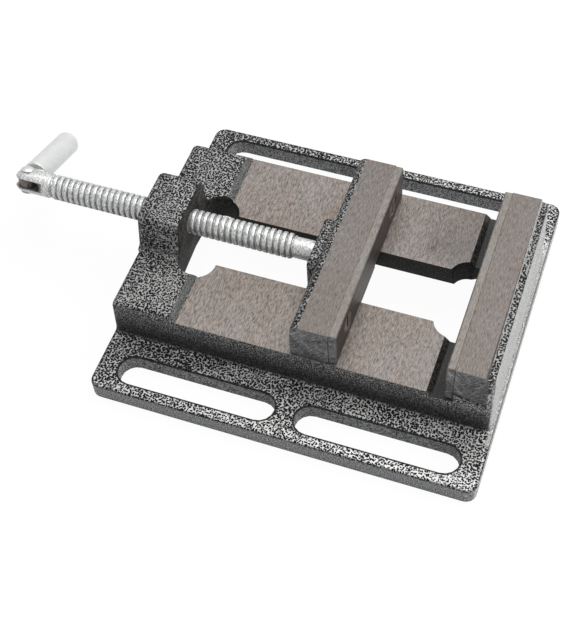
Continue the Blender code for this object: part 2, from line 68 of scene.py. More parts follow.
# Sizes of the casting in millimetres: X from the base's left end, Y from its middle, Z from its foot.
WAYS_LEVEL = 28.0
WAYS_ENDS = (33.0, 151.4)
BESIDE_WAYS_ENDS = (150.9, 153.6)
OPENING_ENDS = (21.0, 159.0)
OPENING_HALF_WIDTH = 26.0
OPENING_WALL_FOOT = 17.0
FIXED_JAW_LEFT = 150.0
FIXED_JAW_CHAMFER_ENDS = (175.0, 177.0)
JAW_HALF_WIDTH = 51.0
STAIN_CENTRE = (137.0, 28.5, WAYS_LEVEL)
PORES_CENTRE = (132.5, 25.5, WAYS_LEVEL)

# The four slots in the flange, also in millimetres. The row and the centre count from the base's middle.
SLOT_CENTRE = 43.05
SLOT_HALF_STRAIGHT = 30.85
SLOT_ROW = 70.8
SLOT_RADIUS = 7.4

# The leadscrew, in millimetres from the base's left end, and the direction of its rivet.
THREAD_ENDS = (-51.2, 73.8)
THINNED_ENDS = (-51.0, 73.5)
FORK_SLOT_END = -54.5
FORK_SLOT_HALF_WIDTH = 2.5
RIVET_X = -65.1
RIVET_AXIS = (0.0, 0.4226183, 0.9063078)

# The thread over one pitch: share of the pitch, then share of the depth.
THREAD_PROFILE = (
    (0.00, 0.00), (0.06, 0.12), (0.12, 0.55), (0.18, 0.90), (0.26, 1.00),
    (0.48, 0.99), (0.70, 1.00), (0.78, 0.90), (0.84, 0.55), (0.90, 0.12),
)

# How castings meet their jaw plates, in metres.
PLATE_EDGE_BREAK = 0.5 * MM
SEAT_REACH = 0.5 * MM
SEAT_CLEARANCE = 0.015 * MM

# A face whose normal reaches FLAT along an axis looks straight along it; levels match within SNUG mm.
FLAT = 0.98
SNUG = 0.06

WHITE = (1.0, 1.0, 1.0, 1.0)


class Wire:
    """A socket in a node tree. Arithmetic on it adds Math nodes and returns the result's socket."""

    def __init__(self, tree, socket=None):
        self.tree = tree
        self.socket = socket

    def node(self, kind, settings=None, inputs=None, output=0):
        """Add any node: its settings first, then values or wires for its sockets."""
        made = self.tree.nodes.new(kind)
        for name, value in (settings or {}).items():
            setattr(made, name, value)
        for key, value in (inputs or {}).items():
            if isinstance(value, Wire):
                self.tree.links.new(value.socket, made.inputs[key])
            else:
                made.inputs[key].default_value = value
        return Wire(self.tree, made.outputs[output] if len(made.outputs) else None)

    def math(self, operation, *values):
        """Add a Math node for these values or wires."""
        return self.node("ShaderNodeMath", {"operation": operation}, dict(enumerate(values)))

    def __add__(self, other):
        return self.math("ADD", self, other)

    def __radd__(self, other):
        return self.math("ADD", other, self)

    def __sub__(self, other):
        return self.math("SUBTRACT", self, other)

    def __rsub__(self, other):
        return self.math("SUBTRACT", other, self)

    def __mul__(self, other):
        return self.math("MULTIPLY", self, other)

    def __abs__(self):
        return self.math("ABSOLUTE", self)

    def larger(self, other):
        """The greater of this and another value."""
        return self.math("MAXIMUM", self, other)

    def step(self, low, high):
        """0 below low, 1 above high, smooth between; low may be the greater one."""
        settings = {"interpolation_type": "SMOOTHSTEP", "clamp": True}
        inputs = {"Value": self, "From Min": low, "From Max": high}
        return self.node("ShaderNodeMapRange", settings, inputs)

    def step_mm(self, low, high, origin=0.0):
        """The same step, with its limits in millimetres from an origin in metres."""
        return self.step(origin + low * MM, origin + high * MM)

    def scaled(self, factors):
        """This vector times three factors, a tuple or a wire."""
        return self.node("ShaderNodeVectorMath", {"operation": "MULTIPLY"}, {0: self, 1: factors})

    def moved(self, vector):
        """This vector plus another."""
        return self.node("ShaderNodeVectorMath", {"operation": "ADD"}, {0: self, 1: vector})

    def seen_from(self, x, y, z):
        """This position as seen from a point in millimetres: X from the base's left end, Z from its foot."""
        return self.moved((-(LEFT + x * MM), -y * MM, -(FOOT + z * MM)))

    def length(self):
        """The length of this vector."""
        return self.node("ShaderNodeVectorMath", {"operation": "LENGTH"}, {0: self}, 1)

    def dot(self, other):
        """The dot product of this vector and another."""
        return self.node("ShaderNodeVectorMath", {"operation": "DOT_PRODUCT"}, {0: self, 1: other}, 1)

    def turned(self, axis, degrees):
        """This vector turned about an axis through the origin."""
        settings = {"rotation_type": "AXIS_ANGLE"}
        return self.node("ShaderNodeVectorRotate", settings,
                         {"Vector": self, "Axis": axis, "Angle": math.radians(degrees)})

    def split(self):
        """The three parts of this vector."""
        parts = self.node("ShaderNodeSeparateXYZ", None, {0: self})
        outputs = parts.socket.node.outputs
        return [Wire(self.tree, outputs[index]) for index in range(3)]

    def noise(self, size, detail=2.0, roughness=0.5, output=0):
        """Noise on this position; size is the width of its coarsest spots in metres."""
        inputs = {"Vector": self, "Scale": 1.0 / size, "Detail": detail, "Roughness": roughness}
        return self.node("ShaderNodeTexNoise", None, inputs, output)

    def cells(self, size, randomness, dimensions):
        """Distance to the nearest of many scattered points, in units of their spacing."""
        inputs = {"Vector": self, "Scale": 1.0 / size, "Randomness": randomness}
        return self.node("ShaderNodeTexVoronoi", {"voronoi_dimensions": dimensions}, inputs)

    def blend(self, low, high):
        """Mix two colours, each a tuple or a wire, by this factor."""
        inputs = {0: self, 6: colour_value(low), 7: colour_value(high)}
        return self.node("ShaderNodeMix", {"data_type": "RGBA"}, inputs, 2)

    def tinted(self, amount):
        """Multiply this colour by a grey amount, a number or a wire."""
        grey = (amount, amount, amount)
        if isinstance(amount, Wire):
            grey = self.node("ShaderNodeCombineXYZ", None, {0: amount, 1: amount, 2: amount})
        return self.scaled(grey)


def colour_value(colour):
    """A colour as a socket takes it: a wire as it is, a tuple with its alpha."""
    if isinstance(colour, Wire):
        return colour
    return (colour[0], colour[1], colour[2], 1.0)


class Surface:
    """A new material with its position and normal wires and a Principled shader to feed."""

    def __init__(self, name):
        self.material = bpy.data.materials.new(name)
        self.material.use_nodes = True
        self.tree = self.material.node_tree
        self.shader = self.tree.nodes["Principled BSDF"]
        self.start = Wire(self.tree)
        self.place = self.start.node("ShaderNodeTexCoord", None, None, 3)
        self.normal = self.start.node("ShaderNodeNewGeometry", None, None, 1)

    def feed(self, name, value):
        """Wire or set one of the shader's inputs."""
        if isinstance(value, Wire):
            self.tree.links.new(value.socket, self.shader.inputs[name])
        else:
            self.shader.inputs[name].default_value = value

    def rounded(self, radius):
        """The normal as it would be with the mesh's corners rounded."""
        return self.start.node("ShaderNodeBevel", {"samples": 6}, {"Radius": radius})

    def edge_line(self, width):
        """1 along the mesh's sharp edges, 0 away from them."""
        return self.rounded(width).dot(self.normal).step(0.985, 0.90)

    def relief(self, height, depth, strength, edge=0.3 * MM):
        """Bump from a height wire; edge rounds the corners that the mesh leaves sharp."""
        inputs = {"Height": height, "Distance": depth, "Strength": strength, "Normal": self.rounded(edge)}
        self.feed("Normal", self.start.node("ShaderNodeBump", None, inputs))


def enamel_pattern(place, size, dimensions):
    """Silver net round dark spots, as hammertone enamel dries: low in a spot, high on the net."""
    swirl = size * 1.5
    drawn = place.noise(swirl, 1.0, 0.5, 1).moved((-0.5, -0.5, -0.5)).scaled((swirl, swirl, swirl))
    warped = place.moved(drawn)
    spots = warped.cells(size, 0.85, dimensions)
    grain = place.noise(size * 0.7, 2.0, 0.6)
    return spots + (grain - 0.5) * 0.5


def slot_distance(x, y):
    """Distance from the edge of the nearest slot in the flange, negative inside the slot."""
    beside = abs(abs(x - (LEFT + RIGHT) / 2) - SLOT_CENTRE * MM) - SLOT_HALF_STRAIGHT * MM
    beside = beside.larger(0.0)
    from_row = abs(y) - SLOT_ROW * MM
    return beside.math("SQRT", beside * beside + from_row * from_row) - SLOT_RADIUS * MM


def thin_strips(x, z):
    """The strips of thin, plain paint left and right of the ways, each 1 inside and 0 outside."""
    left = x.step_mm(29.0, 30.5, LEFT) * z.step_mm(27.0, 27.8, FOOT) * x.step_mm(34.0, 33.2, LEFT)
    right = x.step_mm(150.0, 151.0, LEFT) * z.step_mm(28.6, 28.2, FOOT)
    right = right * x.step_mm(164.0, 163.0, LEFT) * z.step_mm(12.0, 14.0, FOOT)
    return left, right


def enamel(finish):
    """Hammertone enamel: spotted on top, darker on the walls with painted shade toward their foot, fine and
    grey on thin edges, with painted light across the flange and on the base's right end.
    """
    surface = Surface("spotted_enamel")
    place = surface.place
    x, y, z = place.split()
    normal_x, normal_y, normal_z = surface.normal.split()
    true_normal = surface.start.node("ShaderNodeNewGeometry", None, None, 3)
    facing_up = normal_z.step(0.35, 0.8) * true_normal.split()[2].step(0.06, 0.16)
    size = finish.hammer_size
    dark = tuple(finish.enamel_dark)
    silver = tuple(finish.enamel_silver)
    fine = place.noise(size * 0.4, 2.0, 0.6)

    # Parts of the casting, each 1 inside and 0 outside.
    aside = abs(y)
    on_flange = z.step_mm(10.4, 9.2, FOOT)
    high_up = z.step_mm(31.0, 33.0, FOOT)
    rightward = x.step_mm(20.0, 120.0, LEFT)
    front_rim = y.step_mm(-72.0, -80.0) * on_flange
    under_jaw = x.step_mm(156.0, 160.0, LEFT) * z.step_mm(21.0, 26.0, FOOT) * normal_y.step(-0.6, -0.9)

    # The net on the faces that look up. Slow noise widens and narrows it from place to place. On the flange
    # it also narrows toward the left as painted shade and widens along the front rim as painted light.
    drift = place.noise(0.02, 2.0, 0.5)
    clumps = place.noise(0.0045, 1.0, 0.5)
    unevenness_and_light = (drift - 0.5) * 0.25 + (clumps - 0.5) * 0.22 - on_flange * (1.0 - rightward) * 0.05
    unevenness_and_light = unevenness_and_light + front_rim * 0.05
    net = (enamel_pattern(place, size, "2D") + unevenness_and_light).step(0.43, 0.51)
    left_strip, right_strip = thin_strips(x, z)
    # Right of the ways, down by the fixed jaw, the plain strip is dimmer as painted shade.
    plain = fine.step(0.3, 0.75) * (0.7 - right_strip * 0.35)
    net = net + left_strip.larger(right_strip) * (plain - net)

    # Its brightness is painted light: even on the raised body and a little darker on its highest top,
    # brighter on the flange toward the body, along its front rim and toward the right.
    raised = 0.68 - high_up * 0.08
    band = 0.84 + front_rim * 0.22 + aside.step_mm(61.0, 54.0) * 0.35
    along = 0.98 + rightward * 0.22
    painted_sheen = raised + on_flange * (band * along - raised)
    top = (net * (0.4 + fine * 0.8) * painted_sheen).blend(dark, silver)

    # The walls: a finer net that brightens upward, darker toward the foot as painted shade, and plain
    # speckles on the flange's thin sides.
    low_net = (fine * 0.5 + place.noise(size * 0.6, 2.0, 0.65) * 0.5).step(0.48, 0.61)
    high_net = (enamel_pattern(place, size * 0.95, "3D") + unevenness_and_light).step(0.52, 0.62)
    wall_net = low_net + high_up * (high_net * 0.6 - low_net)
    painted_shade_rise = z.step_mm(12.0, 30.0, FOOT)
    wall = (wall_net * (0.2 + painted_shade_rise * 0.85 + under_jaw * 0.5)).blend((0.016, 0.016, 0.0165), silver)
    specks = place.noise(size * 0.7, 1.0, 0.5)
    side = (fine * 0.5 + specks * 0.5).step(0.40, 0.60).blend(
        tuple(finish.enamel_edge_dark), tuple(finish.enamel_edge_light))
    wall = on_flange.blend(wall, side)

    # The base's right end and the edge above it, brightened as painted light.
    at_end = normal_x.step(0.75, 0.95) * x.step_mm(-12.0, -8.0, RIGHT)
    at_end = at_end.larger(x.step_mm(-2.6, -2.0, RIGHT) * aside.step_mm(62.0, 58.0))
    painted_light_end = fine.step(0.35, 0.7).blend((0.10, 0.10, 0.10), (0.72, 0.72, 0.71))

    # Dark lines on the flange, round its slots and along its outer edge.
    from_slot = slot_distance(x, y)
    slot_rim = from_slot.step_mm(0.95, 0.6) * z.step_mm(7.7, 8.1, FOOT)
    outer_rim = normal_z.step(0.3, 0.5) * normal_z.step(0.97, 0.85) * fine.step(0.3, 0.5) * 0.7
    outer_rim = outer_rim * from_slot.step_mm(1.0, 1.4)
    rim = slot_rim.larger(outer_rim) * on_flange

    shown = at_end.blend(facing_up.blend(wall, top), painted_light_end)
    surface.feed("Base Color", (rim * 0.9).blend(shown, dark))
    surface.feed("Metallic", net * facing_up * 0.5)
    surface.feed("Roughness", 0.4 + fine * 0.2)
    surface.feed("Specular IOR Level", 0.06)
    surface.relief(net * 0.7 + fine * 0.3, 0.12 * MM, 0.5, 0.5 * MM)
    return surface.material


def smooth_enamel_and_shade(finish):
    """The thin, smooth paint on the walls of the opening and beside the ways, near black as painted shade.
    """
    surface = Surface("smooth_enamel_and_shade")
    clouds = surface.place.noise(0.006, 3.0, 0.55)
    grain = surface.place.noise(0.0008, 2.0, 0.6)
    tone = (clouds * 0.25 + grain * 0.75).step(0.42, 0.62)
    # Its near-black colour is painted shade.
    surface.feed("Base Color", tone.blend((0.006, 0.006, 0.006), (0.062, 0.058, 0.055)))
    surface.feed("Roughness", 0.5 + grain * 0.2)
    surface.feed("Specular IOR Level", 0.12)
    surface.relief(grain, 0.08 * MM, 0.35)
    return surface.material


def ground_iron(name, colour, streak, contrast):
    """Iron ground along Y: short streaks, mottled grain and slow stains. Also gives its base and shade."""
    surface = Surface(name)
    place = surface.place
    streaks = place.scaled((1.0, streak, 1.0)).noise(0.0011, 3.0, 0.7)
    hair = place.scaled((1.0, 0.09 + streak * 0.3, 1.0)).noise(0.00042, 2.0, 0.7)
    stain = place.scaled((1.0, 0.6, 1.0)).noise(0.02, 3.0, 0.55)
    grain = place.noise(0.0013, 3.0, 0.75)
    tone = streaks * 0.08 + hair * 0.74 + grain * 0.18
    shade = 1.0 + (tone - 0.5) * contrast + (stain - 0.5) * 0.3
    base = stain.step(0.35, 0.7).blend(
        tuple(part * (1.0 - 0.04 * index) for index, part in enumerate(colour)),
        tuple(part * (0.97 + 0.02 * index) for index, part in enumerate(colour)),
    )
    surface.feed("Base Color", base.tinted(shade))
    surface.feed("Metallic", 0.55)
    surface.feed("Roughness", 0.4 + tone * 0.25)
    surface.relief(tone, 0.05 * MM, 0.6)
    return surface, base, shade


def jaw_top_iron(finish):
    """The jaws' tops, ground flush with their plates."""
    return ground_iron("ground_jaw_top", tuple(finish.jaw_iron), 0.16, 3.6)


def foot_iron(finish):
    """The underside of the base, milled flat."""
    return ground_iron("machined_foot", tuple(finish.ground_steel), 0.14, 1.2)


def scratches(surface):
    """Marks of the saw on an end face: crossing diagonal scratches on mottled iron."""
    place = surface.place.scaled((1.0, 0.15, 1.0))
    rising = place.turned((0.0, 1.0, 0.0), -48).scaled((1.0, 1.0, 0.06)).noise(0.00045, 2.0, 0.6)
    falling = place.turned((0.0, 1.0, 0.0), 35).scaled((1.0, 1.0, 0.05)).noise(0.0005, 2.0, 0.6)
    cloud = surface.place.noise(0.006, 3.0, 0.6)
    grain = surface.place.noise(0.0009, 2.0, 0.6)
    lines = rising.step(0.54, 0.66) * 0.8 + falling.step(0.57, 0.68) * 0.6
    return lines * 0.7 + cloud.step(0.35, 0.75) * 0.25 + grain.step(0.45, 0.7) * 0.3


def jaw_steel(finish):
    """The jaw plates: ground and pale on top, dark on the gripping faces as painted shade with brown
    streaks, sawn at the ends.
    """
    surface, base, shade = ground_iron("ground_plate", tuple(finish.ground_steel), 0.16, 3.2)
    normal_x, normal_y, _ = surface.normal.split()
    gripping = abs(normal_x).step(0.8, 0.95)
    ends = abs(normal_y).step(0.6, 0.8)
    # The gripping faces are dark as painted shade, streaked brown.
    along = surface.place.scaled((1.0, 0.12, 1.0)).noise(0.0012, 3.0, 0.7)
    darkened = along.step(0.25, 0.8).blend((0.012, 0.010, 0.009), (0.08, 0.065, 0.055))
    sawn = scratches(surface).blend(tuple(finish.sawn_dark), tuple(finish.sawn_light))
    surface.feed("Base Color", ends.blend(gripping.blend(base.tinted(shade), darkened), sawn))
    return surface.material


def way_iron(finish):
    """The ground ways, with a patch of casting pores in a dark stain on the rear one, and painted shade
    toward the fixed jaw.
    """
    surface, base, shade = ground_iron("ground_ways", tuple(finish.ground_iron), 0.3, 4.4)
    place = surface.place
    x, y, _ = place.split()
    from_stain = place.seen_from(*STAIN_CENTRE).scaled((1.0, 1.2, 0.0)).length()
    darkened = from_stain.step_mm(17.0, 4.0) * place.noise(0.006, 3.0, 0.6).step(0.42, 0.7)
    from_pores = place.seen_from(*PORES_CENTRE).scaled((1.5, 0.8, 0.0)).length()
    pores = from_pores.step_mm(4.5, 1.0) * place.noise(0.0006, 1.0, 0.5).step(0.5, 0.62)
    lone_pores = place.noise(0.0012, 1.0, 0.4).step(0.74, 0.8) * place.noise(0.02, 1.0).step(0.5, 0.62)
    # Painted shade: darker at the rear toward the fixed jaw, and a little right of the moving jaw.
    painted_shade_by_jaw = x.step_mm(104.0, 150.0, LEFT) * y.step_mm(12.0, 24.0)
    painted_shade_between_jaws = x.step_mm(95.0, 112.0, LEFT)
    light = 0.97 - painted_shade_by_jaw * 0.26 - painted_shade_between_jaws * 0.06
    toned = (darkened * 0.5).blend(base.tinted(shade * light), (0.07, 0.072, 0.062))
    surface.feed("Base Color", pores.larger(lone_pores * 0.7).blend(toned, (0.03, 0.028, 0.026)))
    return surface.material


def sawn_iron(finish):
    """End faces left from the saw: dark, with crossing diagonal scratches."""
    surface = Surface("sawn_iron")
    tone = scratches(surface)
    # A painted highlight along the face's sharp edges.
    bright = surface.edge_line(0.5 * MM) * 0.5
    sawn = tone.blend(tuple(finish.sawn_dark), tuple(finish.sawn_light))
    surface.feed("Base Color", bright.blend(sawn, tuple(finish.sawn_light)))
    surface.feed("Metallic", 0.5)
    surface.feed("Roughness", 0.42)
    surface.relief(tone, 0.06 * MM, 0.5)
    return surface.material


def thread_dirt_and_shade(surface, plating, cloud):
    """Painted shade in the thread's grooves and on the undersides of thread and journal, and grease with
    painted shade in the fork's slot.
    """
    x, _, z = surface.place.split()
    start, end = THREAD_ENDS
    threaded = x.step_mm(start - 0.4, start + 0.6, LEFT) * x.step_mm(end + 0.4, end - 0.4, LEFT)
    journal = x.step_mm(end - 0.4, end + 0.4, LEFT)
    # Painted shade: the grooves darken, more so underneath, and the undersides of thread and journal darken.
    under = z.step_mm(0.5, -3.5, SCREW_AXIS_Z)
    from_axis = surface.place.moved((0.0, 0.0, -SCREW_AXIS_Z))
    deep = from_axis.scaled((0.0, 1.0, 1.0)).length().step_mm(5.65, 4.9)
    shown = (deep * threaded * (0.2 + under * 0.72)).blend(plating, (0.11, 0.112, 0.105))
    shown = (under * (threaded * 0.75 + journal * 0.95)).blend(shown, (0.075, 0.076, 0.073))
    # Grease in the fork's slot, its darkness partly painted shade.
    in_slot = abs(from_axis.dot(RIVET_AXIS)).step_mm(FORK_SLOT_HALF_WIDTH, FORK_SLOT_HALF_WIDTH - 0.2)
    in_slot = in_slot * x.step_mm(FORK_SLOT_END, FORK_SLOT_END - 1.0, LEFT)
    return (in_slot * (0.6 + cloud * 0.4)).blend(shown, (0.028, 0.016, 0.011))


def tang_grease_and_shade(surface, plating, cloud):
    """Grease on the handle where it swings in the fork, darkened also as painted shade."""
    from_rivet = surface.place.moved((-(LEFT + RIVET_X * MM), 0.0, -SCREW_AXIS_Z)).length()
    near = from_rivet.step_mm(9.6, 7.2) * (0.55 + cloud * 0.5)
    return near.blend(plating, (0.07, 0.030, 0.018))


def zinc(finish, name="zinc_plate", level=1.0, dirt_and_shade=None):
    """Bright zinc plating with a faint cloud; the last argument, where given, lays one piece's dirt and
    painted shade over it.
    """
    surface = Surface(name)
    on_thread = dirt_and_shade is thread_dirt_and_shade
    cloud = surface.place.noise(0.004, 3.0, 0.6)
    grain = surface.place.noise(0.0004, 2.0, 0.6)
    tone = (0.82 + cloud * 0.22 + (grain - 0.5) * 0.3) * level
    if on_thread:
        scored = surface.place.scaled((1.0, 0.4, 0.4)).noise(0.00048, 3.0, 0.75)
        tone = tone * (0.97 + (scored - 0.5) * 3.6)
    colour = surface.start.node("ShaderNodeRGB")
    colour.socket.default_value = (*finish.zinc, 1.0)
    shown = colour.tinted(tone)
    if dirt_and_shade is not None:
        shown = dirt_and_shade(surface, shown, cloud)
    surface.feed("Base Color", shown)
    surface.feed("Metallic", 0.7)
    surface.feed("Roughness", 0.32 + grain * 0.25)
    rough = surface.place.noise(0.0011, 3.0, 0.7)
    surface.relief(grain + rough, (0.22 if on_thread else 0.05) * MM, 0.5)
    return surface.material


def oiled_steel(finish):
    """Oiled steel of the keeper and pins, with a mill scale cloud."""
    surface = Surface("oiled_steel")
    cloud = surface.place.noise(0.005, 4.0, 0.6)
    grain = surface.place.noise(0.0005, 2.0, 0.6)
    tone = (cloud * 0.7 + grain * 0.3).step(0.3, 0.7)
    surface.feed("Base Color", tone.blend((0.035, 0.036, 0.04), (0.11, 0.11, 0.115)))
    surface.feed("Metallic", 0.7)
    surface.feed("Roughness", 0.38 + grain * 0.2)
    surface.relief(grain, 0.05 * MM, 0.4)
    return surface.material


def screw_steel(finish):
    """The countersunk screws of the jaw plates: bright heads under a brown film of oil."""
    surface = Surface("screw_steel")
    film = surface.place.noise(0.005, 2.0, 0.6).step(0.3, 0.75)
    grain = surface.place.noise(0.0005, 2.0, 0.6)
    surface.feed("Base Color", film.blend((0.06, 0.042, 0.031), (0.46, 0.34, 0.24)))
    surface.feed("Metallic", 0.9)
    surface.feed("Roughness", 0.22 + grain * 0.15)
    surface.relief(grain, 0.04 * MM, 0.4)
    return surface.material


def made(name, maker, *values):
    """The material of this name, made the first time that it is asked for."""
    found = bpy.data.materials.get(name)
    if found is not None:
        return found
    result = maker(*values)
    return result[0].material if isinstance(result, tuple) else result


def smooth_by_angle(mesh, degrees):
    """Smooth shading, but sharp at the edges that turn by more than this angle."""
    mesh.shade_smooth()
    mesh.set_sharp_from_angle(angle=math.radians(degrees))


def copied(node, name, degrees=34):
    """A welded, smooth-shaded copy of a CAD node, ready to be dressed and to replace it."""
    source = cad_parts[node]
    mesh_data = bmesh.new()
    mesh_data.from_mesh(source.data)
    bmesh.ops.transform(mesh_data, matrix=source.matrix_world, verts=mesh_data.verts)
    bmesh.ops.remove_doubles(mesh_data, verts=mesh_data.verts, dist=0.02 * MM)
    bmesh.ops.dissolve_degenerate(mesh_data, edges=mesh_data.edges, dist=0.01 * MM)
    mesh = bpy.data.meshes.new(name)
    mesh_data.to_mesh(mesh)
    mesh_data.free()
    smooth_by_angle(mesh, degrees)
    piece = bpy.data.objects.new(name, mesh)
    bpy.context.scene.collection.objects.link(piece)
    weighted = piece.modifiers.new("flat_faces", "WEIGHTED_NORMAL")
    weighted.keep_sharp = True
    weighted.weight = 100
    return piece


def seat_on_plate(piece, node, direction):
    """Bring the casting's seat up to the back of its plate, and its top over the plate's broken edge.

    The direction is 1 where the casting lies toward +X of the plate, else -1.
    """
    low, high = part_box(node)
    back = high.x if direction > 0 else low.x
    break_level = high.z - PLATE_EDGE_BREAK
    mesh_data = bmesh.new()
    mesh_data.from_mesh(piece.data)

    def on_seat(vertex):
        near = 0.0 < (vertex.co.x - back) * direction < SEAT_REACH
        return near and vertex.co.z > low.z - SEAT_REACH

    seat = [face for face in mesh_data.faces if all(on_seat(vertex) for vertex in face.verts)]
    edges = {edge for face in seat for edge in face.edges}
    corners = {vertex for face in seat for vertex in face.verts}
    bmesh.ops.bisect_plane(mesh_data, geom=[*corners, *edges, *seat], plane_co=(0.0, 0.0, break_level),
                           plane_no=(0.0, 0.0, 1.0), dist=0.000001)
    for vertex in mesh_data.verts:
        if on_seat(vertex):
            over = PLATE_EDGE_BREAK if vertex.co.z > break_level + 0.1 * MM else 0.0
            vertex.co.x = back + direction * (SEAT_CLEARANCE - over)
    mesh_data.to_mesh(piece.data)
    mesh_data.free()


def paint_faces(piece, materials, chooser, flat):
    """Give each face the material that the chooser picks; flat ones lose their smooth shading."""
    for material in materials:
        piece.data.materials.append(material)
    for face in piece.data.polygons:
        centre = (face.center - Vector((LEFT, 0.0, FOOT))) / MM
        face.material_index = chooser(centre, face.normal)
        if face.material_index in flat:
            face.use_smooth = False


def dress_node(node, material):
    """Put a finish on a CAD node that keeps its own shape."""
    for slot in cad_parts[node].material_slots:
        slot.material = material


def base_face(centre, normal):
    """0 enamel, 1 ground way, 2 ground jaw top, 3 sawn end, 4 smooth enamel darkened as painted shade, 5
    machined foot.
    """
    x, y, z = centre
    looks_up = normal.z > FLAT
    at_jaw_top = z > JAW_TOP / MM - SNUG
    if looks_up and abs(z - WAYS_LEVEL) < SNUG and WAYS_ENDS[0] < x < WAYS_ENDS[1]:
        return 1
    if looks_up and at_jaw_top and x > FIXED_JAW_LEFT:
        return 2
    on_chamfer = FIXED_JAW_CHAMFER_ENDS[0] < x < FIXED_JAW_CHAMFER_ENDS[1] and z > JAW_TOP / MM - 1.0
    if on_chamfer and normal.x > 0.3 and normal.z > 0.3:
        return 2
    at_jaw_end = abs(abs(y) - JAW_HALF_WIDTH) < 0.1
    if abs(normal.y) > FLAT and at_jaw_end and z > WAYS_LEVEL - 2.0:
        return 3
    if normal.z < -FLAT and z < SNUG:
        return 5
    in_opening = OPENING_ENDS[0] < x < OPENING_ENDS[1] and abs(y) < OPENING_HALF_WIDTH
    on_opening_wall = in_opening and z > OPENING_WALL_FOOT and abs(normal.z) < 0.3
    # The walls of the opening and the end wall of the ways by the fixed jaw take the dark smooth enamel as
    # painted shade.
    beside_ways = BESIDE_WAYS_ENDS[0] < x < BESIDE_WAYS_ENDS[1] and normal.x > 0.3 and z > WAYS_LEVEL - 4.0
    if on_opening_wall or beside_ways:
        return 4
    return 0


def jaw_face(centre, normal):
    """0 enamel, 1 ground top and underside, 2 sawn end, 3 smooth enamel darkened as painted shade."""
    _, y, z = centre
    at_top = z > JAW_TOP / MM - SNUG
    on_ways = WAYS_LEVEL < z < WAYS_LEVEL + 0.6
    if abs(normal.z) > FLAT and (at_top or on_ways):
        return 1
    if abs(normal.y) > FLAT and abs(y) > JAW_HALF_WIDTH - 0.1:
        return 2
    # The jaw's foot, down in the opening, takes the dark smooth enamel as painted shade.
    if z < WAYS_LEVEL + 0.2:
        return 3
    return 0


def thread_mesh(settings):
    """A helical thread with rounded crests, right handed, that fades out at both ends."""
    major = settings.thread_diameter / 2
    root = major - settings.thread_depth
    pitch = settings.pitch
    steps = settings.steps
    start, end = (LEFT + place * MM for place in THREAD_ENDS)
    fade_in = pitch * 0.5
    fade_out = pitch * 0.6
    count = len(THREAD_PROFILE)
    turns = int((end - start) / pitch) + 3
    mesh_data = bmesh.new()
    rows = []
    for row in range(turns * count):
        turn, index = divmod(row, count)
        along, lift = THREAD_PROFILE[index]
        line = []
        for step in range(steps):
            share = step / steps
            x = start + pitch * (turn - 2 + along + share)
            fade = min(max((x - start) / fade_in, 0.0), max((end - x) / fade_out, 0.0), 1.0)
            radius = root + (major - root) * lift * fade
            x = min(max(x, start), end)
            angle = 2 * math.pi * share
            y = radius * math.cos(angle)
            z = SCREW_AXIS_Z + radius * math.sin(angle)
            line.append(mesh_data.verts.new((x, y, z)))
        rows.append(line)
    for row in range(len(rows) - 1):
        for step in range(steps):
            if step < steps - 1:
                near, far = rows[row][step + 1], rows[row + 1][step + 1]
            elif row + count + 1 < len(rows):
                near, far = rows[row + count][0], rows[row + count + 1][0]
            else:
                continue
            mesh_data.faces.new((rows[row][step], rows[row + 1][step], far, near))
    bmesh.ops.remove_doubles(mesh_data, verts=mesh_data.verts, dist=0.002 * MM)
    bmesh.ops.dissolve_degenerate(mesh_data, edges=mesh_data.edges, dist=0.001 * MM)
    loose = [vertex for vertex in mesh_data.verts if not vertex.link_faces]
    bmesh.ops.delete(mesh_data, geom=loose, context="VERTS")
    bmesh.ops.recalc_face_normals(mesh_data, faces=mesh_data.faces)
    mesh = bpy.data.meshes.new("leadscrew_thread")
    mesh_data.to_mesh(mesh)
    mesh_data.free()
    smooth_by_angle(mesh, 35)
    piece = bpy.data.objects.new("leadscrew_thread", mesh)
    bpy.context.scene.collection.objects.link(piece)
    return piece


